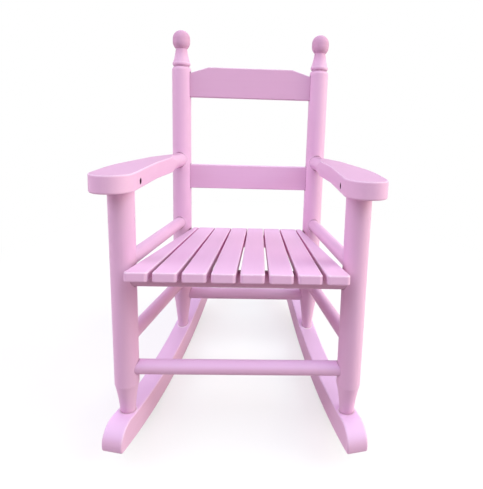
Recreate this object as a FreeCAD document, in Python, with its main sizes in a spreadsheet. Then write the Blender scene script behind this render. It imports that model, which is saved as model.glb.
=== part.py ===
import FreeCAD
import Part
import Sketcher
import os
from math import acos, atan, atan2, cos, degrees, hypot, radians, sin, sqrt, tan
from FreeCAD import Placement, Rotation, Vector

# A child's rocking chair of painted wood. It faces -Y, and its origin lies on the floor under the
# lowest point of the two rockers. Sizes are in millimetres and angles in degrees.
SIZES = [
    # Turned posts: where their axes cross the floor, and how they lean
    ("post_diameter", 33.0),
    ("front_foot_half_spread", 155.8),
    ("front_foot_ahead", 158.7),
    ("front_post_lean_angle", 6.55),
    ("front_post_splay_angle", 0.83),
    ("rear_foot_half_spread", 116.2),
    ("rear_foot_behind", 48.9),
    ("rear_post_lean_angle", 14.06),
    ("rear_post_splay_angle", 0.81),
    ("front_foot_taper_height", 104.0),
    ("rear_foot_taper_height", 98.0),
    ("front_foot_diameter", 21.0),
    ("rear_foot_diameter", 18.0),
    ("front_foot_curve_radius", 240.0),
    ("rear_foot_curve_radius", 900.0),
    ("foot_socket_depth", 20.0),
    ("foot_straight_height", 4.0),
    ("foot_end_clearance", 0.4),
    # Turned finial, measured down each rear post from the middle of its ball
    ("ball_height", 546.9),
    ("ball_diameter", 30.2),
    ("ball_band_length", 5.8),
    ("neck_diameter", 19.8),
    ("neck_length", 1.5),
    ("cone_diameter", 28.7),
    ("cone_drop", 40.3),
    ("cone_curve_radius", 160.0),
    ("bead_end_drop", 47.6),
    ("bead_curve_radius", 4.6),
    ("groove_diameter", 26.8),
    ("groove_drop", 49.0),
    ("shoulder_drop", 53.6),
    ("shoulder_curve_radius", 6.0),
    # Round rungs and stretchers, and the sockets that they are glued into
    ("rung_diameter", 20.0),
    ("socket_depth", 8.5),
    ("socket_clearance", 0.1),
    ("front_stretcher_height", 127.0),
    ("rear_stretcher_height", 97.4),
    ("low_rung_front_height", 167.3),
    ("low_rung_rear_height", 122.5),
    # Upper side rungs: how far the front end laps the top of the seat rail beside it in the post,
    # and how far the rear end lies above the middle of the other rail
    ("high_rung_front_lap", 3.1),
    ("high_rung_rear_rise", 35.1),
    # Seat: eight fanned slats on two round rails
    ("seat_front_height", 296.7),
    ("seat_front_reach", 177.7),
    ("seat_slope_angle", 15.83),
    ("seat_length", 300.8),
    ("seat_front_half_width", 136.0),
    ("seat_rear_half_width", 100.5),
    ("slat_thickness", 12.0),
    ("slat_front_pitch", 34.9),
    ("slat_rear_pitch", 30.1),
    ("slat_front_gap", 5.0),
    ("slat_rear_gap", 1.2),
    ("slat_corner_radius", 4.4),
    ("slat_edge_radius", 2.0),
    ("seat_rail_diameter", 23.0),
    ("seat_rail_flat_depth", 0.8),
    # Back: a shaped crest rail and a plain slat, mortised into the rear posts
    ("back_board_thickness", 12.0),
    ("crest_bottom_height", 448.4),
    ("crest_top_height", 500.2),
    ("crest_end_drop", 10.6),
    ("crest_flat_half_width", 74.6),
    ("crest_shoulder_radius", 14.0),
    ("back_slat_bottom_height", 290.3),
    ("back_slat_top_height", 331.9),
    ("mortise_depth", 10.0),
    ("board_edge_radius", 1.8),
    # Paddle arms, measured from the front post's axis along the arm's own slope
    ("arm_height", 402.2),
    ("arm_slope_angle", 11.1),
    ("arm_thickness", 23.2),
    ("arm_front_reach", 50.0),
    ("arm_outer_half_width", 27.8),
    ("arm_inner_half_width", 24.7),
    ("arm_outer_corner_radius", 24.0),
    ("arm_inner_corner_radius", 26.0),
    ("arm_outer_straight", 15.0),
    ("arm_outer_curve_radius", 280.0),
    ("arm_inner_straight", 80.0),
    ("arm_inner_curve_radius", 200.0),
    ("arm_edge_radius", 2.2),
    ("arm_neck_diameter", 25.0),
    ("arm_neck_cover", 0.6),
    ("arm_neck_angle", 8.0),
    ("arm_neck_length", 19.5),
    ("arm_flare_angle", 40.0),
    ("arm_flare_radius", 250.0),
    ("arm_tenon_diameter", 20.0),
    ("arm_tenon_length", 13.0),
    # Screw in the arm's inner edge that holds the tenon of the front post
    ("screw_drop", 14.0),
    ("screw_head_diameter", 5.6),
    ("screw_head_length", 3.0),
    ("screw_shank_diameter", 2.8),
    ("screw_length", 15.0),
    ("screw_recess", 5.0),
    # Rockers: boards with a round underside, cut across both ends and rounded over on top
    ("rocker_radius", 604.0),
    ("rocker_board_height", 37.0),
    ("rocker_thickness", 29.0),
    ("rocker_reach", 204.0),
    ("rocker_nose_radius", 24.0),
    ("rocker_tip_radius", 5.0),
    ("rocker_edge_radius", 2.4),
    # Length by which every cutting tool runs past what it cuts
    ("overrun", 20.0),
]

SLATS_EACH_SIDE = 4
SETTLING_STEPS = 8

doc = FreeCAD.newDocument("RockingChair")
sheet = doc.addObject("Spreadsheet::Sheet", "Sizes")
for row, (alias, amount) in enumerate(SIZES, start=1):
    sheet.set("A%d" % row, alias)
    sheet.set("B%d" % row, str(amount))
    sheet.setAlias("B%d" % row, alias)
doc.recompute()


def size(alias):
    return float(sheet.get(alias))


def amount_of(entry):
    # An entry is a length worked out in this script, or an expression on the sheet as text
    if isinstance(entry, str):
        return float(sheet.evalExpression(entry))
    return float(entry)


def bind(target, path, entry):
    if isinstance(entry, str):
        target.setExpression(path, entry)


# Post axes, on the right-hand side
def axis_point(foot_x, foot_y, x_angle, y_angle, height):
    return Vector(foot_x + tan(radians(x_angle)) * height, foot_y + tan(radians(y_angle)) * height, height)


def front_axis(height):
    foot_x = size("front_foot_half_spread")
    foot_y = -size("front_foot_ahead")
    inward = -size("front_post_splay_angle")
    return axis_point(foot_x, foot_y, inward, size("front_post_lean_angle"), height)


def rear_axis(height):
    foot_x = size("rear_foot_half_spread")
    foot_y = size("rear_foot_behind")
    outward = size("rear_post_splay_angle")
    return axis_point(foot_x, foot_y, outward, size("rear_post_lean_angle"), height)


def other_side(point):
    return Vector(-point.x, point.y, point.z)


def direction(start, end):
    return (end - start).normalize()


def along(start, end):
    # A placement at the start point whose own Z axis points at the end point
    return Placement(start, Rotation(Vector(0, 0, 1), direction(start, end)))


def meet_plane(axis, base, normal):
    # The point where a post's axis crosses a plane
    low = axis(0)
    step = axis(1) - low
    return low + step * ((base - low).dot(normal) / step.dot(normal))


post_radius = size("post_diameter") / 2
clearance = size("socket_clearance")
overrun = size("overrun")
front_line = front_axis(1) - front_axis(0)
rear_line = rear_axis(1) - rear_axis(0)


# Sketches, bodies and edges
def origin_plane(body, role):
    return [feature for feature in body.Origin.OriginFeatures if feature.Role == role][0]


def arc_between(start, end, radius, turn):
    # The short arc from start to end: turn is 1 anticlockwise and -1 clockwise
    chord = end - start
    left = Vector(-chord.y, chord.x, 0).normalize()
    rise = sqrt(max(radius * radius - chord.Length * chord.Length / 4, 0))
    centre = (start + end) / 2 + left * (turn * rise)
    first, last = (start, end) if turn > 0 else (end, start)
    circle = Part.Circle(centre, Vector(0, 0, 1), radius)
    return Part.ArcOfCircle(circle, circle.parameter(first), circle.parameter(last))


def draw(body, name, role, corners, curves=None):
    # A closed outline through the corners. Edge i is an arc where curves has i: (radius, turn).
    curves = curves or {}
    sketch = body.newObject("Sketcher::SketchObject", name)
    sketch.AttachmentSupport = [(origin_plane(body, role), "")]
    sketch.MapMode = "FlatFace"
    points = [Vector(amount_of(x), amount_of(y), 0) for x, y in corners]
    ends = []
    for i, start in enumerate(points):
        end = points[(i + 1) % len(points)]
        if i in curves:
            radius, turn = curves[i]
            edge = sketch.addGeometry(arc_between(start, end, amount_of(radius), turn), False)
            bind(sketch, "Constraints[%d]" % sketch.addConstraint(
                Sketcher.Constraint("Radius", edge, amount_of(radius))), radius)
        else:
            turn = 1
            edge = sketch.addGeometry(Part.LineSegment(start, end), False)
        ends.append((edge, 1, 2) if turn > 0 else (edge, 2, 1))
    for i, (edge, begin, finish) in enumerate(ends):
        next_edge, next_begin, next_finish = ends[(i + 1) % len(ends)]
        sketch.addConstraint(Sketcher.Constraint("Coincident", edge, finish, next_edge, next_begin))
        for kind, axis, entry in (("DistanceX", -2, corners[i][0]), ("DistanceY", -1, corners[i][1])):
            if amount_of(entry) == 0:
                sketch.addConstraint(Sketcher.Constraint("PointOnObject", edge, begin, axis))
                continue
            held = sketch.addConstraint(Sketcher.Constraint(kind, -1, 1, edge, begin, amount_of(entry)))
            bind(sketch, "Constraints[%d]" % held, entry)
    doc.recompute()
    return sketch


def new_body(label):
    body = doc.addObject("PartDesign::Body", label)
    body.Label = label
    return body


def pad(body, sketch, depth, reversed_side=False, both_sides=False):
    feature = body.newObject("PartDesign::Pad", body.Name + "_pad")
    feature.Profile = sketch
    feature.setExpression("Length", depth)
    feature.Reversed = reversed_side
    feature.Midplane = both_sides
    sketch.Visibility = False
    doc.recompute()
    return feature


def revolve(body, sketch):
    feature = body.newObject("PartDesign::Revolution", body.Name + "_turning")
    feature.Profile = sketch
    feature.ReferenceAxis = (sketch, ["V_Axis"])
    feature.Angle = 360
    doc.recompute()
    return feature


def round_edges(body, base, radius, chosen):
    names = ["Edge%d" % i for i, edge in enumerate(base.Shape.Edges, start=1) if chosen(edge)]
    feature = body.newObject("PartDesign::Fillet", body.Name + "_round")
    feature.Base = (base, names)
    feature.setExpression("Radius", radius)
    doc.recompute()
    return feature


def cylinder(label, diameter, start, end, extra="0"):
    solid = doc.addObject("Part::Cylinder", label)
    solid.Label = label
    solid.setExpression("Radius", "Sizes.%s / 2 + %s" % (diameter, extra))
    solid.Height = (end - start).Length
    solid.Placement = along(start, end)
    return solid


def cut(label, base, tools):
    joined = tools[0]
    if len(tools) > 1:
        joined = doc.addObject("Part::MultiFuse", label + "_tools")
        joined.Shapes = tools
    result = doc.addObject("Part::Cut", label)
    result.Label = label
    result.Base = base
    result.Tool = joined
    return result


def mirrored(source, label):
    result = doc.addObject("Part::Mirroring", label)
    result.Label = label
    result.Source = source
    result.Normal = Vector(1, 0, 0)
    result.Base = Vector(0, 0, 0)
    return result


pieces = []
FIT = "Sizes.socket_clearance"


# Rungs and stretchers. Each ends short of the post's axis, and its socket ends a clearance deeper.
def rung(label, diameter, start, end):
    inset = post_radius - size("socket_depth")
    step = direction(start, end)
    return cylinder(label, diameter, start + step * inset, end - step * inset)


def socket(label, diameter, post_point, far_point):
    step = direction(post_point, far_point)
    depth = size("socket_depth")
    bottom = post_point + step * (post_radius - depth - clearance)
    return cylinder(label, diameter, bottom, bottom + step * (depth + overrun), FIT)


def seat_rail_point(axis):
    # The rail's middle on a post axis: below the seat's top by a slat and the flat that carries it
    to_flat = size("seat_rail_diameter") / 2 - size("seat_rail_flat_depth")
    depth = size("slat_thickness") + clearance + to_flat
    return meet_plane(axis, seat_front - seat_up * depth, seat_up)


seat_tilt = Rotation(Vector(1, 0, 0), -size("seat_slope_angle"))
seat_front = Vector(0, -size("seat_front_reach"), size("seat_front_height"))
seat_up = seat_tilt.multVec(Vector(0, 0, 1))
front_rail_point = seat_rail_point(front_axis)
rear_rail_point = seat_rail_point(rear_axis)

rung_above_rail = (size("seat_rail_diameter") + size("rung_diameter")) / 2 - size("high_rung_front_lap")
high_rung_front_height = front_rail_point.z + rung_above_rail
high_rung_rear_height = rear_rail_point.z + size("high_rung_rear_rise")

SIDE_RUNGS = [
    ("lower_side_rung", size("low_rung_front_height"), size("low_rung_rear_height")),
    ("upper_side_rung", high_rung_front_height, high_rung_rear_height),
]
CROSS_RUNGS = [
    ("lower_front_stretcher", front_axis(size("front_stretcher_height")), "rung_diameter"),
    ("lower_rear_stretcher", rear_axis(size("rear_stretcher_height")), "rung_diameter"),
    ("front_seat_rail", front_rail_point, "seat_rail_diameter"),
    ("rear_seat_rail", rear_rail_point, "seat_rail_diameter"),
]

front_sockets = []
rear_sockets = []
for label, front_height, rear_height in SIDE_RUNGS:
    front_end = front_axis(front_height)
    rear_end = rear_axis(rear_height)
    right = rung(label + "_right", "rung_diameter", front_end, rear_end)
    pieces += [right, mirrored(right, label + "_left")]
    front_sockets.append(socket(label + "_front_socket", "rung_diameter", front_end, rear_end))
    rear_sockets.append(socket(label + "_rear_socket", "rung_diameter", rear_end, front_end))

for label, right_end, diameter in CROSS_RUNGS:
    bar = rung(label, diameter, right_end, other_side(right_end))
    hole = socket(label + "_socket", diameter, right_end, other_side(right_end))
    (front_sockets if "front" in label else rear_sockets).append(hole)
    if diameter == "rung_diameter":
        pieces.append(bar)
        continue
    # The rail is planed flat where the slats sit on it
    bar.Label = label + "_turning"
    plane = doc.addObject("Part::Box", label + "_plane")
    plane.Length = 2 * right_end.x
    plane.setExpression("Width", "Sizes.seat_rail_diameter")
    plane.setExpression("Height", "Sizes.overrun")
    lift = size("seat_rail_diameter") / 2 - size("seat_rail_flat_depth")
    corner = Vector(-right_end.x, -size("seat_rail_diameter") / 2, lift)
    plane.Placement = Placement(Vector(0, right_end.y, right_end.z) + seat_tilt.multVec(corner), seat_tilt)
    pieces.append(cut(label + "_planed", bar, [plane]))
    pieces[-1].Label = label


# Rockers: an upright board between the two feet, whose underside is an arc about a high centre
front_foot = front_axis(size("rocker_board_height"))
rear_foot = rear_axis(size("rocker_board_height"))
run = Vector(rear_foot.x - front_foot.x, rear_foot.y - front_foot.y, 0).normalize()
low_point = Vector(front_foot.x - run.x * front_foot.y / run.y, 0, 0)
rocker_frame = Placement(low_point, Rotation(Vector(1, 0, 0), run))


def rocker_top(axis):
    # The height at which a post's axis meets the top of the rocker
    height = size("rocker_board_height")
    top_radius = size("rocker_radius") - height
    for step in range(SETTLING_STEPS):
        distance = (axis(height) - low_point).dot(run)
        height = size("rocker_radius") - sqrt(top_radius * top_radius - distance * distance)
    return height


front_seat_height = rocker_top(front_axis)
rear_seat_height = rocker_top(rear_axis)

TOP_RADIUS = "(Sizes.rocker_radius - Sizes.rocker_board_height)"
UNDERSIDE = "Sizes.rocker_radius - sqrt(Sizes.rocker_radius ^ 2 - Sizes.rocker_reach ^ 2)"
TOP = "Sizes.rocker_radius - sqrt(" + TOP_RADIUS + " ^ 2 - Sizes.rocker_reach ^ 2)"
rocker_body = new_body("rocker_board")
rocker_outline = draw(
    rocker_body,
    "rocker_outline",
    "XZ_Plane",
    [
        ("-Sizes.rocker_reach", UNDERSIDE),
        ("Sizes.rocker_reach", UNDERSIDE),
        ("Sizes.rocker_reach", TOP),
        ("-Sizes.rocker_reach", TOP),
    ],
    {0: ("Sizes.rocker_radius", 1), 2: (TOP_RADIUS, -1)},
)
rocker_pad = pad(rocker_body, rocker_outline, "Sizes.rocker_thickness", both_sides=True)


def across_end(edge, height):
    # The edge across the board at each end, at the height of its top or its underside
    middle = edge.CenterOfMass
    at_end = abs(abs(middle.x) - size("rocker_reach")) < clearance
    return at_end and all(abs(vertex.Z - amount_of(height)) < clearance for vertex in edge.Vertexes)


def along_face(edge):
    # Every edge on the board's two side faces
    across = [vertex.Y for vertex in edge.Vertexes] + [edge.CenterOfMass.y]
    return all(abs(abs(y) - size("rocker_thickness") / 2) < clearance for y in across)


rocker_nose = round_edges(
    rocker_body, rocker_pad, "Sizes.rocker_nose_radius", lambda edge: across_end(edge, TOP)
)
rocker_tip = round_edges(
    rocker_body, rocker_nose, "Sizes.rocker_tip_radius", lambda edge: across_end(edge, UNDERSIDE)
)
round_edges(rocker_body, rocker_tip, "Sizes.rocker_edge_radius", along_face)
rocker_body.Placement = rocker_frame

foot_sockets = []
for label, axis, top, diameter in (
    ("front", front_axis, front_seat_height, "front_foot_diameter"),
    ("rear", rear_axis, rear_seat_height, "rear_foot_diameter"),
):
    bottom = axis(top - size("foot_socket_depth") - size("foot_end_clearance"))
    foot_sockets.append(cylinder(label + "_foot_socket", diameter, bottom, axis(top + overrun), FIT))
rocker_right = cut("rocker_right", rocker_body, foot_sockets)
pieces += [rocker_right, mirrored(rocker_right, "rocker_left")]


# Arms: a paddle board, thicker to the rear, where it is turned to a round neck in the rear post
arm_tilt = Rotation(Vector(1, 0, 0), -size("arm_slope_angle"))
arm_up = arm_tilt.multVec(Vector(0, 0, 1))
arm_frame = Placement(front_axis(size("arm_height")), arm_tilt)
neck_radius = size("arm_neck_diameter") / 2
neck_space = neck_radius + size("arm_neck_cover")
neck_root = meet_plane(rear_axis, arm_frame.Base - arm_up * neck_space, arm_up)
neck_turn = Rotation(Vector(0, 0, 1), size("arm_neck_angle"))
neck_line = arm_tilt.multVec(neck_turn.multVec(Vector(0, -1, 0)))
neck_length = post_radius + size("arm_neck_length")
arm_root = arm_frame.inverse().multVec(neck_root)
arm_end = arm_root.y
arm_taper = (2 * neck_space - size("arm_thickness")) / arm_end
under_tilt = Rotation(Vector(1, 0, 0), -size("arm_slope_angle") - degrees(atan(arm_taper)))
under_up = under_tilt.multVec(Vector(0, 0, 1))
arm_underside = arm_frame.Base - arm_up * size("arm_thickness") - under_up * clearance


def arm_side(half_width, straight, radius, outward):
    # A long edge bends from its straight part by an arc, and then runs on close beside the neck where
    # that starts to widen: the way that the arc turns, the arc's end and the edge's rear end
    passed = arm_root + neck_turn.multVec(Vector(outward * neck_space, -neck_length, 0))
    start = outward * size(half_width)
    way = 1 if start > passed.x else -1
    across = size(radius) + way * (passed.x - start)
    reach = passed.y - size(straight)
    angle = atan2(reach, across) - acos(size(radius) / hypot(across, reach))
    arc_end = (
        start - way * size(radius) * (1 - cos(angle)),
        size(straight) + size(radius) * sin(angle),
    )
    edge_end = (passed.x - way * tan(angle) * (arm_end - passed.y), arm_end)
    return outward * way, arc_end, edge_end


outer_turn, outer_arc_end, outer_end = arm_side(
    "arm_outer_half_width", "arm_outer_straight", "arm_outer_curve_radius", 1
)
inner_turn, inner_arc_end, inner_end = arm_side(
    "arm_inner_half_width", "arm_inner_straight", "arm_inner_curve_radius", -1
)
arm_body = new_body("arm_board")
arm_outline = draw(
    arm_body,
    "arm_outline",
    "XY_Plane",
    [
        ("Sizes.arm_inner_corner_radius - Sizes.arm_inner_half_width", "-Sizes.arm_front_reach"),
        ("Sizes.arm_outer_half_width - Sizes.arm_outer_corner_radius", "-Sizes.arm_front_reach"),
        ("Sizes.arm_outer_half_width", "Sizes.arm_outer_corner_radius - Sizes.arm_front_reach"),
        ("Sizes.arm_outer_half_width", "Sizes.arm_outer_straight"),
        outer_arc_end,
        outer_end,
        inner_end,
        inner_arc_end,
        ("-Sizes.arm_inner_half_width", "Sizes.arm_inner_straight"),
        ("-Sizes.arm_inner_half_width", "Sizes.arm_inner_corner_radius - Sizes.arm_front_reach"),
    ],
    {
        1: ("Sizes.arm_outer_corner_radius", 1),
        3: ("Sizes.arm_outer_curve_radius", outer_turn),
        7: ("Sizes.arm_inner_curve_radius", inner_turn),
        9: ("Sizes.arm_inner_corner_radius", 1),
    },
)
arm_pad = pad(
    arm_body, arm_outline, "Sizes.arm_neck_diameter + 2 * Sizes.arm_neck_cover", reversed_side=True
)


def under_level(reach):
    return -size("arm_thickness") - arm_taper * reach


wedge_front = -size("arm_front_reach") - overrun
wedge_rear = arm_end + overrun
wedge_low = -2 * neck_space - overrun
wedge_outline = draw(
    arm_body,
    "arm_underside_outline",
    "YZ_Plane",
    [
        (wedge_front, wedge_low),
        (wedge_rear, wedge_low),
        (wedge_rear, under_level(wedge_rear)),
        (wedge_front, under_level(wedge_front)),
    ],
)
arm_wedge = arm_body.newObject("PartDesign::Pocket", "arm_underside_cut")
arm_wedge.Profile = wedge_outline
arm_wedge.Type = "ThroughAll"
arm_wedge.Midplane = True
doc.recompute()


def arm_rim(edge):
    # The edges round the top and the underside, all but the rear end
    first, last = edge.Vertexes[0], edge.Vertexes[-1]
    level = abs(first.X - last.X) + abs(first.Y - last.Y) > clearance
    return level and abs(edge.CenterOfMass.y - arm_end) > clearance


round_edges(arm_body, arm_wedge, "Sizes.arm_edge_radius", arm_rim)
arm_body.Placement = arm_frame

# The turned shape that the rear of the arm is rounded to, along the neck from the rear post's axis
flare_angle = radians(size("arm_flare_angle"))
flare_end = neck_length + size("arm_flare_radius") * sin(flare_angle)
flare_width = neck_radius + size("arm_flare_radius") * (1 - cos(flare_angle))
turned_length = arm_end + size("arm_front_reach") + overrun
turning_body = new_body("arm_turning")
turning_outline = draw(
    turning_body,
    "arm_turning_outline",
    "XZ_Plane",
    [
        (0, 0),
        ("Sizes.arm_neck_diameter / 2", 0),
        ("Sizes.arm_neck_diameter / 2", neck_length),
        (flare_width, flare_end),
        (flare_width, turned_length),
        (0, turned_length),
    ],
    {2: ("Sizes.arm_flare_radius", -1)},
)
revolve(turning_body, turning_outline)
turning_body.Placement = along(neck_root, neck_root + neck_line)

arm_shaped = doc.addObject("Part::Common", "arm_shaped")
arm_shaped.Base = arm_body
arm_shaped.Tool = turning_body
neck_end = neck_root + neck_line * (post_radius - size("socket_depth"))
arm_neck = cylinder("arm_neck", "arm_neck_diameter", neck_end, neck_root + neck_line * neck_length)
arm_blank = doc.addObject("Part::Fuse", "arm_blank")
arm_blank.Base = arm_shaped
arm_blank.Tool = arm_neck
arm_beyond_post = doc.addObject("Part::Cut", "arm_beyond_post")
arm_beyond_post.Base = arm_blank
arm_beyond_post.Tool = cylinder("arm_end_trim", "post_diameter", neck_end, neck_end - neck_line * overrun)
rear_sockets.append(socket("arm_neck_socket", "arm_neck_diameter", neck_root, neck_root + neck_line))

tenon_foot = meet_plane(front_axis, arm_underside, under_up)
tenon_line = direction(front_axis(0), tenon_foot)
tenon_end = tenon_foot + tenon_line * size("arm_tenon_length")
tenon_hole = cylinder(
    "arm_tenon_hole",
    "arm_tenon_diameter",
    tenon_foot - tenon_line * overrun,
    tenon_end + tenon_line * size("foot_end_clearance"),
    FIT,
)

# The screw lies across the arm and the tenon, with its head sunk below the inner edge
screw_point = meet_plane(front_axis, arm_frame.Base - arm_up * size("screw_drop"), arm_up)
screw_mouth = screw_point - Vector(size("arm_inner_half_width"), 0, 0)
screw_start = screw_mouth + Vector(size("screw_recess"), 0, 0)
screw_neck = screw_start + Vector(size("screw_head_length"), 0, 0)
screw_end = screw_start + Vector(size("screw_length"), 0, 0)
head = cylinder("screw_head", "screw_head_diameter", screw_start, screw_neck)
shank = cylinder("screw_shank", "screw_shank_diameter", screw_start, screw_end)
screw = doc.addObject("Part::Fuse", "arm_screw_right")
screw.Base = head
screw.Tool = shank
arm_screws = doc.addObject("Part::Compound", "arm_screws")
arm_screws.Label = "arm_screws"
arm_screws.Links = [screw, mirrored(screw, "arm_screw_left")]
gap = Vector(clearance, 0, 0)
head_hole = cylinder(
    "screw_head_hole", "screw_head_diameter", screw_mouth - Vector(overrun, 0, 0), screw_neck + gap, FIT
)
shank_hole = cylinder("screw_shank_hole", "screw_shank_diameter", screw_start, screw_end + gap, FIT)

arm_right = cut("arm_right", arm_beyond_post, [tenon_hole, head_hole, shank_hole])
pieces += [arm_right, mirrored(arm_right, "arm_left"), arm_screws]


# Front posts: a turned post with a drawn-in foot, cut to the slope of the arm, with a tenon on top
def axial(height, line):
    return height * line.Length


def foot_corners(line, seat_height, foot_diameter, taper_height):
    # The foot is straight in its socket and a little above it, and then swells to the post
    foot_end = seat_height - size("foot_socket_depth")
    taper_start = seat_height + size("foot_straight_height")
    return [
        (0, axial(foot_end, line)),
        ("Sizes.%s / 2" % foot_diameter, axial(foot_end, line)),
        ("Sizes.%s / 2" % foot_diameter, axial(taper_start, line)),
        ("Sizes.post_diameter / 2", axial(size(taper_height), line)),
    ]


front_body = new_body("front_post_turning")
front_top = (tenon_end - front_axis(0)).Length + overrun
front_outline = draw(
    front_body,
    "front_post_outline",
    "XZ_Plane",
    foot_corners(front_line, front_seat_height, "front_foot_diameter", "front_foot_taper_height")
    + [("Sizes.post_diameter / 2", front_top), (0, front_top)],
    {2: ("Sizes.front_foot_curve_radius", -1)},
)
revolve(front_body, front_outline)
front_body.Placement = along(front_axis(0), front_axis(1))

arm_cutter = doc.addObject("Part::Box", "front_post_top_cut")
arm_cutter.setExpression("Length", "2 * Sizes.post_diameter")
arm_cutter.setExpression("Width", "2 * Sizes.post_diameter")
arm_cutter.setExpression("Height", "Sizes.arm_tenon_length + 2 * Sizes.overrun")
arm_cutter.Placement = Placement(
    tenon_foot - under_tilt.multVec(Vector(size("post_diameter"), size("post_diameter"), 0)), under_tilt
)
front_cut = doc.addObject("Part::Cut", "front_post_cut")
front_cut.Base = front_body
front_cut.Tool = arm_cutter
tenon = cylinder("front_post_tenon", "arm_tenon_diameter", tenon_foot - tenon_line * overrun, tenon_end)
front_blank = doc.addObject("Part::Fuse", "front_post_blank")
front_blank.Base = front_cut
front_blank.Tool = tenon
front_right = cut("front_post_right", front_blank, front_sockets + [shank_hole])
pieces += [front_right, mirrored(front_right, "front_post_left")]


# Rear posts: the same foot, and a turned finial of shoulder, groove, bead, cone and ball. The ball is
# drawn out by a short band round its middle.
ball_level = axial(size("ball_height"), rear_line)
ball_radius = size("ball_diameter") / 2
band_end = ball_level - size("ball_band_length")
ball_end = band_end - sqrt(ball_radius ** 2 - size("neck_diameter") ** 2 / 4)

rear_body = new_body("rear_post_turning")
rear_outline = draw(
    rear_body,
    "rear_post_outline",
    "XZ_Plane",
    foot_corners(rear_line, rear_seat_height, "rear_foot_diameter", "rear_foot_taper_height")
    + [
        ("Sizes.post_diameter / 2", ball_level - size("shoulder_drop")),
        ("Sizes.groove_diameter / 2", ball_level - size("groove_drop")),
        ("Sizes.groove_diameter / 2", ball_level - size("bead_end_drop")),
        ("Sizes.cone_diameter / 2", ball_level - size("cone_drop")),
        ("Sizes.neck_diameter / 2", ball_end - size("neck_length")),
        ("Sizes.neck_diameter / 2", ball_end),
        ("Sizes.ball_diameter / 2", band_end),
        ("Sizes.ball_diameter / 2", ball_level),
        (0, ball_level + ball_radius),
    ],
    {
        2: ("Sizes.rear_foot_curve_radius", -1),
        4: ("Sizes.shoulder_curve_radius", 1),
        6: ("Sizes.bead_curve_radius", 1),
        7: ("Sizes.cone_curve_radius", -1),
        9: ("Sizes.ball_diameter / 2", 1),
        11: ("Sizes.ball_diameter / 2", 1),
    },
)
revolve(rear_body, rear_outline)
rear_body.Placement = along(rear_axis(0), rear_axis(1))


# Back boards: upright in the plane of the rear posts, with both ends let into the posts
back_tilt = Rotation(Vector(1, 0, 0), 90 - size("rear_post_lean_angle"))


def back_board(label, low_alias, high_alias, end_drop, shoulder=None):
    low = rear_axis(size(low_alias))
    high = rear_axis(size(high_alias))
    height = Vector(0, high.y - low.y, high.z - low.z).Length
    half_length = (low.x + high.x) / 2 - post_radius + size("mortise_depth")
    tenon_height = height - end_drop
    corners = [(-half_length, 0), (half_length, 0), (half_length, tenon_height)]
    if shoulder:
        shoulder_end = half_length - size("mortise_depth")
        corners += [(shoulder_end, tenon_height), (shoulder, height)]
        corners += [("-" + shoulder, height), (-shoulder_end, tenon_height)]
    corners.append((-half_length, tenon_height))
    body = new_body(label)
    body_pad = pad(body, draw(body, label + "_outline", "XY_Plane", corners),
                   "Sizes.back_board_thickness", both_sides=True)
    if shoulder:
        body_pad = round_edges(
            body, body_pad, "Sizes.crest_shoulder_radius",
            lambda edge: abs(abs(edge.CenterOfMass.x) - amount_of(shoulder)) < clearance
            and len(edge.Vertexes) == 2 and abs(edge.Vertexes[0].X - edge.Vertexes[1].X) < clearance,
        )
    round_edges(body, body_pad, "Sizes.board_edge_radius", lambda edge: runs_lengthwise(edge, half_length))
    body.Placement = Placement(Vector(0, low.y, low.z), back_tilt)

    mortise = doc.addObject("Part::Box", label + "_mortise")
    mortise.setExpression("Length", "Sizes.mortise_depth + Sizes.overrun")
    mortise.Width = tenon_height + 2 * clearance
    mortise.setExpression("Height", "Sizes.back_board_thickness + 2 * " + FIT)
    corner = Vector(
        half_length + clearance - size("mortise_depth") - overrun,
        -clearance,
        -size("back_board_thickness") / 2 - clearance,
    )
    mortise.Placement = Placement(Vector(0, low.y, low.z) + back_tilt.multVec(corner), back_tilt)
    return body, mortise


def runs_lengthwise(edge, half_length):
    middle = edge.CenterOfMass
    on_face = abs(abs(middle.z) - size("back_board_thickness") / 2) < clearance
    return on_face and abs(abs(middle.x) - half_length) > clearance


crest, crest_mortise = back_board(
    "crest_rail",
    "crest_bottom_height",
    "crest_top_height",
    size("crest_end_drop"),
    "Sizes.crest_flat_half_width",
)
back_slat, back_slat_mortise = back_board(
    "lower_back_slat", "back_slat_bottom_height", "back_slat_top_height", 0
)
pieces += [crest, back_slat]

rear_right = cut("rear_post_right", rear_body, rear_sockets + [crest_mortise, back_slat_mortise])
pieces += [rear_right, mirrored(rear_right, "rear_post_left")]


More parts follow.
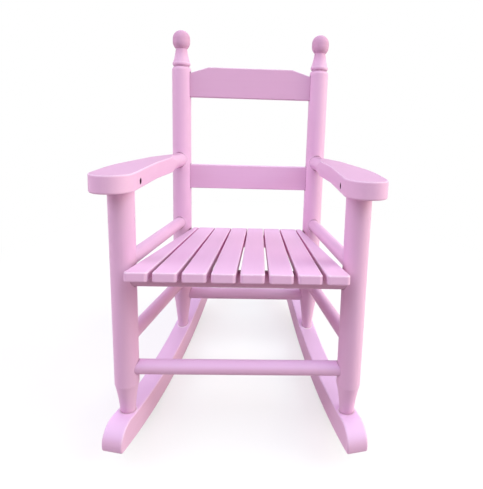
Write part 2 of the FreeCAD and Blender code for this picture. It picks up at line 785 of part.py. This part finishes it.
# Seat slats: fanned boards, rounded along the top and at the front corners. The outermost follow the
# line of the posts.
def slat(place):
    last = place == SLATS_EACH_SIDE
    front_outer = "Sizes.seat_front_half_width"
    rear_outer = "Sizes.seat_rear_half_width"
    if not last:
        front_outer = "%d * Sizes.slat_front_pitch - Sizes.slat_front_gap / 2" % place
        rear_outer = "%d * Sizes.slat_rear_pitch - Sizes.slat_rear_gap / 2" % place
    front_inner = "%d * Sizes.slat_front_pitch + Sizes.slat_front_gap / 2" % (place - 1)
    rear_inner = "%d * Sizes.slat_rear_pitch + Sizes.slat_rear_gap / 2" % (place - 1)
    label = "seat_slat_%d" % (SLATS_EACH_SIDE + place)
    body = new_body(label)
    corners = [
        (front_inner, 0),
        (front_outer, 0),
        (rear_outer, "Sizes.seat_length"),
        (rear_inner, "Sizes.seat_length"),
    ]
    slat_pad = pad(body, draw(body, label + "_outline", "XY_Plane", corners),
                   "Sizes.slat_thickness", reversed_side=True)
    slat_ends = round_edges(
        body, slat_pad, "Sizes.slat_corner_radius",
        lambda edge: abs(edge.CenterOfMass.y) < clearance
        and abs(edge.Vertexes[0].Z - edge.Vertexes[1].Z) > clearance,
    )
    round_edges(
        body, slat_ends, "Sizes.slat_edge_radius",
        lambda edge: edge.CenterOfMass.z > -clearance or is_front_bottom(edge),
    )
    body.Placement = Placement(seat_front, seat_tilt)
    return body, label


def is_front_bottom(edge):
    low = abs(edge.CenterOfMass.z + size("slat_thickness")) < clearance
    return low and edge.CenterOfMass.y < size("slat_corner_radius")


for place in range(1, SLATS_EACH_SIDE + 1):
    right_slat, label = slat(place)
    pieces += [right_slat, mirrored(right_slat, "seat_slat_%d" % (SLATS_EACH_SIDE + 1 - place))]

doc.recompute()

for item in doc.Objects:
    if "Invalid" in item.State or "Error" in item.State:
        raise RuntimeError("%s did not build: %s" % (item.Label, item.State))
for piece in pieces:
    if piece.Shape.isNull() or not piece.Shape.isValid():
        raise RuntimeError("%s has no valid shape" % piece.Label)
    expected = 2 if piece is arm_screws else 1
    if len(piece.Shape.Solids) != expected:
        raise RuntimeError("%s has %d solids" % (piece.Label, len(piece.Shape.Solids)))

os.makedirs("parts", exist_ok=True)
for piece in pieces:
    piece.Shape.exportStep("parts/%s.step" % piece.Label)
print("%d pieces written" % len(pieces))
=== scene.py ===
from math import cos, radians, sin

import bpy
import numpy as np
from mathutils import Matrix, Vector

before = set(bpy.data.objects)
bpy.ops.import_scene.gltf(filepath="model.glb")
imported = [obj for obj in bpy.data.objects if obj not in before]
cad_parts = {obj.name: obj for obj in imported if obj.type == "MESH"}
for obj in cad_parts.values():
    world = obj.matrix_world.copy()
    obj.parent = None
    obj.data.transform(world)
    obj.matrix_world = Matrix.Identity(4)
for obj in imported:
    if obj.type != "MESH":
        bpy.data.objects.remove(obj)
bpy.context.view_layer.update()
print("chair loaded,", len(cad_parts), "pieces")

pureWhite = (1, 1, 1, 1)
upAxis = (0, 0, 1)
noiseMiddle = 0.5  # what a noise texture swings about


# One output socket of a material: sums, differences and products of these add Math nodes
class Wire:
    def __init__(self, tree, socket=None):
        self.tree = tree
        self.socket = socket

    def node(self, kind, settings=None, inputs=None, output=0):
        made = self.tree.nodes.new("ShaderNode" + kind)
        for name, value in (settings or {}).items():
            setattr(made, name, value)
        for name, value in (inputs or {}).items():
            if isinstance(value, Wire):
                self.tree.links.new(value.socket, made.inputs[name])
            else:
                made.inputs[name].default_value = value
        return Wire(self.tree, made.outputs[output] if made.outputs else None)

    def reckon(self, operation, first, second):
        return self.node("Math", {"operation": operation}, {0: first, 1: second})

    def __add__(self, other):
        return self.reckon("ADD", self, other)

    def __radd__(self, other):
        return self.reckon("ADD", other, self)

    def __sub__(self, other):
        return self.reckon("SUBTRACT", self, other)

    def __rsub__(self, other):
        return self.reckon("SUBTRACT", other, self)

    def __mul__(self, other):
        return self.reckon("MULTIPLY", self, other)

    def __rmul__(self, other):
        return self.reckon("MULTIPLY", other, self)


def freshMaterial(name):
    material = bpy.data.materials.new(name)
    material.use_nodes = True
    material.node_tree.nodes.clear()
    return material, Wire(material.node_tree)


def finishMaterial(wire, shader):
    wire.node("OutputMaterial", None, {"Surface": shader})


def coat(piece, material):
    piece.data.materials.clear()
    piece.data.materials.append(material)


def blendColours(wire, share, first, second):
    # Sockets 6 and 7 take a Mix node's colours, and socket 2 gives their blend
    return wire.node("Mix", {"data_type": "RGBA"}, {0: share, 6: first, 7: second}, 2)


def between(wire, value, limits):
    # 0 below the lower limit, 1 above the higher one, with a soft step from one to the other
    low, high = limits
    return wire.node(
        "MapRange",
        {"interpolation_type": "SMOOTHSTEP"},
        {"Value": value, "From Min": low, "From Max": high},
    )


def along(wire, vector, direction):
    return wire.node("VectorMath", {"operation": "DOT_PRODUCT"}, {0: vector, 1: direction}, "Value")


def lengthOf(wire, vector):
    return wire.node("VectorMath", {"operation": "LENGTH"}, {0: vector}, "Value")


def hemmedIn(wire, reach, inside=False, samples=8):
    # 0 in the open, rising to 1 where surfaces stand close round a spot, outside or inside the piece
    settings = {"samples": samples, "inside": inside}
    return 1 - wire.node("AmbientOcclusion", settings, {"Distance": reach}, "AO")


def seenRays(wire):
    # 1 for what the camera sees, straight or in gloss and glass
    rays = ("Is Camera Ray", "Is Glossy Ray", "Is Transmission Ray")
    straight, glossy, through = (wire.node("LightPath", None, None, ray) for ray in rays)
    return straight + glossy + through


def cornersOf(piece):
    return np.array([corner.co for corner in piece.data.vertices])


def grainFrame(corners):
    # The middle of a piece's corners, and the turn that lays X along its length
    middle = corners.mean(axis=0)
    axes = np.linalg.eigh(np.cov((corners - middle).T))[1]
    length = Vector(axes[:, 2])
    across = Vector(axes[:, 1])
    turn = Matrix((length, across, length.cross(across))).transposed()
    return Vector(middle), turn


# Pink paint over turned and sawn hardwood; colours are linear, lengths in metres.
# A band, heights or normals give where a mask starts and where it is full.
pinkPaint = {
    "colour": (0.779, 0.476, 0.710, 1),
    "roughness": 0.45,
    "specularLevel": 0.12,
    "pieceStep": 0.37,  # shifts the pattern from piece to piece
    # Wood grain, brush lines, clouds and the paint's fine peel
    "grainSize": (0.16, 0.0035, 0.0035),
    "grainDetail": 4,
    "grainWaver": 0.4,
    "grainDepth": 0.00005,
    "grainBand": (0.25, 0.75),
    "brushSize": (0.05, 0.0007, 0.0007),
    "brushDetail": 2,
    "brushDepth": 0.000008,
    "brushDulling": 0.12,
    "cloudScale": 14,
    "cloudDetail": 2,
    "cloudBand": (0.3, 0.7),
    "cloudDulling": 0.10,
    "peelScale": 900,
    "peelDetail": 1,
    "peelDepth": 0.000005,
    "thinColour": (0.84, 0.60, 0.79, 1),
    "thinShare": 0.11,
    # Rims painted pale on upward edges: painted highlight standing in for the sheen, with rubbed wear
    "rimWearAndHighlightColour": (0.96, 0.86, 0.95, 1),
    "rimReach": 0.003,
    "rimBand": (0.10, 0.28),
    "rimNormals": (0.1, 0.5),
    "rimWearAndHighlightShare": 0.7,
    # Painted shade in creases, along joints, between the slats and over the seat rails, with fainter lines
    # near the floor
    "creaseShadeColour": (0.40, 0.12, 0.19, 1),
    "creaseReach": 0.022,
    "creaseBand": (0.25, 0.95),
    "creaseShare": 0.65,
    "railShade": 0.28,
    "jointShadeColour": (0.20, 0.045, 0.12, 1),
    "gapShadeColour": (0.70, 0.18, 0.47, 1),
    "jointReach": 0.0045,
    "jointBand": (0.20, 0.42),
    "jointShare": 0.95,
    "lowJointHeights": (0.06, 0.28),
    "lowJointShare": 0.25,
    # Painted shade: darker paint over the finials, the arm tops and the whole crest rail
    "topShadeColour": (0.55, 0.29, 0.46, 1),
    "finialHeights": (0.515, 0.535),
    "finialShadeShare": 0.6,
    "finialDulling": 0.21,
    "armTopNormals": (0.8, 0.95),
    "armTopShadeShare": 0.7,
    "crestShadeShare": 0.22,
    # Painted reflection: a pale lilac sheen on the upward faces of the rockers and the lower front
    # stretcher
    "skySheenColour": (0.82, 0.552, 0.83, 1),
    "skySheenNormals": (0.3, 0.8),
    # Painted shade: dark wall of each arm's screw recess and a dark ring round its mouth
    "holeShadeColour": (0.05, 0.010, 0.028, 1),
    "holeReach": (0.0038, 0.0046),
    "holeDepth": (0.018, 0.020),
    "holeShadeShare": 0.95,
}


def screwHoleShade(wire, spot, side):
    # 1 round the screw on the side that this sign names, where shade is painted in and round its recess
    style = pinkPaint
    corners = cornersOf(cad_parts["arm_screws"])
    screw, screwTurn = grainFrame(corners[corners[:, 0] * side > 0])
    offset = wire.node("VectorMath", {"operation": "SUBTRACT"}, {0: spot, 1: screw})
    swing = wire.node("VectorMath", {"operation": "CROSS_PRODUCT"}, {0: offset, 1: screwTurn.col[0]})
    beside = between(wire, lengthOf(wire, swing), style["holeReach"])
    beyond = between(wire, lengthOf(wire, offset), style["holeDepth"])
    return (1 - beside) * (1 - beyond)


def paintPiece(piece, place):
    style = pinkPaint
    isArm = piece.name.startswith("arm_")
    material, wire = freshMaterial("pink_paint_" + piece.name)
    middle, turn = grainFrame(cornersOf(piece))
    start = middle + Vector((1, 1, 1)) * (place * style["pieceStep"])
    spot = wire.node("TexCoord", None, None, "Object")

    def alongGrain(featureSize, detail):
        placing = {"Vector": spot, "Location": start, "Rotation": turn.to_euler(), "Scale": featureSize}
        laid = wire.node("Mapping", {"vector_type": "TEXTURE"}, placing)
        pattern = {"Vector": laid, "Scale": 1, "Detail": detail, "Distortion": style["grainWaver"]}
        return wire.node("TexNoise", None, pattern)

    def speckle(scale, detail):
        return wire.node("TexNoise", None, {"Vector": spot, "Scale": scale, "Detail": detail})

    grain = alongGrain(style["grainSize"], style["grainDetail"])
    brush = alongGrain(style["brushSize"], style["brushDetail"])
    peel = speckle(style["peelScale"], style["peelDetail"])
    cloud = speckle(style["cloudScale"], style["cloudDetail"])

    # Masks for painted shade in creases, along joints and on the tops, and for painted highlight with wear
    # on upward rims
    height = along(wire, spot, upAxis)
    upward = along(wire, wire.node("NewGeometry", None, None, "Normal"), upAxis)
    # Painted shade: darker colour where surfaces close round a spot, and over the seat rails
    paintedShade = between(wire, hemmedIn(wire, style["creaseReach"]), style["creaseBand"]) * style["creaseShare"]
    if piece.name.endswith("seat_rail"):
        paintedShade = paintedShade + style["railShade"]
    # Painted shade: dark lines where parts meet, fainter near the floor
    jointShade = between(wire, hemmedIn(wire, style["jointReach"]), style["jointBand"])
    faint = style["lowJointShare"]
    jointShade = jointShade * (faint + between(wire, height, style["lowJointHeights"]) * (1 - faint))
    # Painted highlight with wear: pale colour on convex edges that face upward
    rimWearAndHighlight = between(wire, hemmedIn(wire, style["rimReach"], True), style["rimBand"])
    rimWearAndHighlight = rimWearAndHighlight * between(wire, upward, style["rimNormals"])
    finial = between(wire, height, style["finialHeights"])
    # Painted shade on the finials, the upward faces of the arms and the crest rail
    topShade = finial * style["finialShadeShare"]
    if isArm:
        topShade = between(wire, upward, style["armTopNormals"]) * style["armTopShadeShare"]
    elif piece.name == "crest_rail":
        topShade = style["crestShadeShare"]

    thin = between(wire, grain, style["grainBand"]) + between(wire, cloud, style["cloudBand"])
    colour = blendColours(wire, thin * style["thinShare"], style["colour"], style["thinColour"])
    colour = blendColours(wire, topShade, colour, style["topShadeColour"])
    # Painted reflection of the sky on upward faces
    if piece.name.startswith("rocker") or piece.name == "lower_front_stretcher":
        skySheen = between(wire, upward, style["skySheenNormals"])
        colour = blendColours(wire, skySheen, colour, style["skySheenColour"])
    colour = blendColours(wire, rimWearAndHighlight * style["rimWearAndHighlightShare"], colour, style["rimWearAndHighlightColour"])
    colour = blendColours(wire, paintedShade, colour, style["creaseShadeColour"])
    # Painted shade: plum in the gaps between the slats, near-black along the other joints
    shadeLine = style["gapShadeColour"] if piece.name.startswith("seat_slat") else style["jointShadeColour"]
    colour = blendColours(wire, jointShade * style["jointShare"], colour, shadeLine)
    # Painted shade in and round the screw recess
    if isArm:
        holeShade = screwHoleShade(wire, spot, middle.x)
        colour = blendColours(wire, holeShade * style["holeShadeShare"], colour, style["holeShadeColour"])

    roughness = style["roughness"] + (brush - noiseMiddle) * style["brushDulling"]
    roughness = roughness + (cloud - noiseMiddle) * style["cloudDulling"] + finial * style["finialDulling"]
    relief = grain * style["grainDepth"] + brush * style["brushDepth"] + peel * style["peelDepth"]
    skin = wire.node("Bump", None, {"Height": relief, "Strength": 1, "Distance": 1})
    finish = {
        "Base Color": colour,
        "Roughness": roughness,
        "Specular IOR Level": style["specularLevel"],
        "Normal": skin,
    }
    finishMaterial(wire, wire.node("BsdfPrincipled", None, finish))
    coat(piece, material)


# Screws in the arms' inner edges, coloured near-black plum as painted shade for the recesses they sit in,
# with rust pits
screwShadeSteel = {
    # Painted shade: near-black plum in place of the steel's own grey
    "colour": (0.055, 0.022, 0.036, 1),
    "rustColour": (0.03, 0.014, 0.02, 1),
    "metallic": 0.7,
    "roughness": 0.5,
    "pitScale": 1800,
    "pitDetail": 3,
    "pitBand": (0.4, 0.65),
    "pitDepth": 0.00003,
    "pitDulling": 0.2,
}


def finishScrews(piece):
    style = screwShadeSteel
    material, wire = freshMaterial("screw_painted_shade")
    spot = wire.node("TexCoord", None, None, "Object")
    pattern = {"Vector": spot, "Scale": style["pitScale"], "Detail": style["pitDetail"]}
    pitting = wire.node("TexNoise", None, pattern)
    rust = between(wire, pitting, style["pitBand"])
    skin = wire.node("Bump", None, {"Height": pitting * style["pitDepth"], "Strength": 1, "Distance": 1})
    finish = {
        "Base Color": blendColours(wire, rust, style["colour"], style["rustColour"]),
        "Roughness": style["roughness"] + pitting * style["pitDulling"],
        "Metallic": style["metallic"],
        "Normal": skin,
    }
    finishMaterial(wire, wire.node("BsdfPrincipled", None, finish))
    coat(piece, material)


for place, name in enumerate(sorted(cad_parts)):
    if name == "arm_screws":
        finishScrews(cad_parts[name])
    else:
        paintPiece(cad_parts[name], place)
print("paint laid on")


# Floor: white to the eye, with the chair's own soft shadow, which fades out between two distances
floorSheet = {
    "halfWidth": 8,
    "colour": (0.52, 0.45, 0.43, 1),  # for the light that it throws back
    "seenColour": (0.97, 0.97, 0.97, 1),
    "whiteShare": 0.62,
    "fade": (0.30, 0.75),
}


def layFloor():
    style = floorSheet
    half = style["halfWidth"]
    corners = [(-half, -half, 0), (half, -half, 0), (half, half, 0), (-half, half, 0)]
    mesh = bpy.data.meshes.new("floor")
    mesh.from_pydata(corners, [], [(0, 1, 2, 3)])
    floor = bpy.data.objects.new("floor", mesh)
    bpy.context.scene.collection.objects.link(floor)
    material, wire = freshMaterial("pale_floor")
    spot = wire.node("TexCoord", None, None, "Object")
    share = style["whiteShare"]
    share = share + between(wire, lengthOf(wire, spot), style["fade"]) * (1 - share)
    matt = wire.node("BsdfDiffuse", None, {"Color": style["colour"]})
    pale = wire.node("BsdfDiffuse", None, {"Color": style["seenColour"]})
    glow = wire.node("Emission", None, {"Color": pureWhite, "Strength": 1})
    shown = wire.node("MixShader", None, {0: share, 1: pale, 2: glow})
    finishMaterial(wire, wire.node("MixShader", None, {0: seenRays(wire), 1: matt, 2: shown}))
    mesh.materials.append(material)


layFloor()

# Studio light: broad soft lamps all round, cool from the rear and warm from the right
studio = {
    "roomColour": (1.0, 0.86, 0.90, 1),
    "roomLevel": 0.08,
    "lamps": {
        "front": {"place": (0, -2.4, 4.5), "width": 4.4, "watts": 104, "colour": (1.0, 0.85, 1.0)},
        "rear": {"place": (0, 4.2, 3.85), "width": 4.0, "watts": 150, "colour": (0.83, 0.82, 1.0)},
        "right": {"place": (5.1, -0.2, 1.65), "width": 3.5, "watts": 191, "colour": (1.0, 0.86, 0.62)},
        "rightHigh": {"place": (3.75, -0.9, 3.6), "width": 3.1, "watts": 145, "colour": (0.76, 1.0, 0.95)},
        "left": {"place": (-5.1, -0.2, 1.65), "width": 3.5, "watts": 61, "colour": (1.0, 0.79, 0.80)},
        "leftHigh": {"place": (-3.75, -0.9, 3.6), "width": 3.1, "watts": 120, "colour": (0.84, 0.94, 1.0)},
    },
    "aim": (0, 0, 0.28),
}


def lightStudio():
    style = studio
    world = bpy.data.worlds.new("studio")
    world.use_nodes = True
    world.node_tree.nodes.clear()
    wire = Wire(world.node_tree)
    room = wire.node("Background", None, {"Color": style["roomColour"], "Strength": style["roomLevel"]})
    backdrop = wire.node("Background", None, {"Color": pureWhite, "Strength": 1})
    shown = wire.node("MixShader", None, {0: seenRays(wire), 1: room, 2: backdrop})
    wire.node("OutputWorld", None, {"Surface": shown})
    bpy.context.scene.world = world
    for name, spec in style["lamps"].items():
        lamp = bpy.data.lights.new(name, "AREA")
        lamp.shape = "SQUARE"
        lamp.size = spec["width"]
        lamp.energy = spec["watts"]
        lamp.color = spec["colour"]
        stand = bpy.data.objects.new(name, lamp)
        stand.location = spec["place"]
        away = stand.location - Vector(style["aim"])
        stand.rotation_euler = away.to_track_quat("Z", "Y").to_euler()
        bpy.context.scene.collection.objects.link(stand)


lightStudio()
print("floor and lamps set")

# Camera at the photograph's viewpoint; angles in degrees, pixels in the photograph's frame
viewpoint = {
    "place": (0.0272, -0.6292, 0.5809),
    "yaw": 2.243,
    "pitch": -19.256,
    "roll": 2.175,
    "focalPixels": 436.3,
    "centrePixel": (279.4, 175),
    "imagePixels": (483, 489),
    "sensorWidth": 36,  # millimetres
    "clipStart": 0.01,
}


def setCamera():
    style = viewpoint
    yaw, pitch, roll = (radians(style[name]) for name in ("yaw", "pitch", "roll"))
    ahead = Vector((sin(yaw) * cos(pitch), cos(yaw) * cos(pitch), sin(pitch)))
    side = Vector((cos(yaw), -sin(yaw), 0))
    up = side.cross(ahead)
    right = side * cos(roll) + up * sin(roll)
    top = up * cos(roll) - side * sin(roll)
    turn = Matrix((right, top, -ahead)).transposed().to_4x4()
    width, height = style["imagePixels"]
    centreColumn, centreRow = style["centrePixel"]
    camera = bpy.data.objects.new("camera", bpy.data.cameras.new("camera"))
    camera.matrix_world = Matrix.Translation(style["place"]) @ turn
    camera.data.sensor_fit = "HORIZONTAL"
    camera.data.sensor_width = style["sensorWidth"]
    camera.data.lens = style["sensorWidth"] * style["focalPixels"] / width
    camera.data.shift_x = (width / 2 - centreColumn) / width
    camera.data.shift_y = (centreRow - height / 2) / width
    camera.data.clip_start = style["clipStart"]
    bpy.context.scene.collection.objects.link(camera)
    bpy.context.scene.camera = camera


setCamera()
bpy.context.scene.view_settings.view_transform = "Standard"
print("camera set")
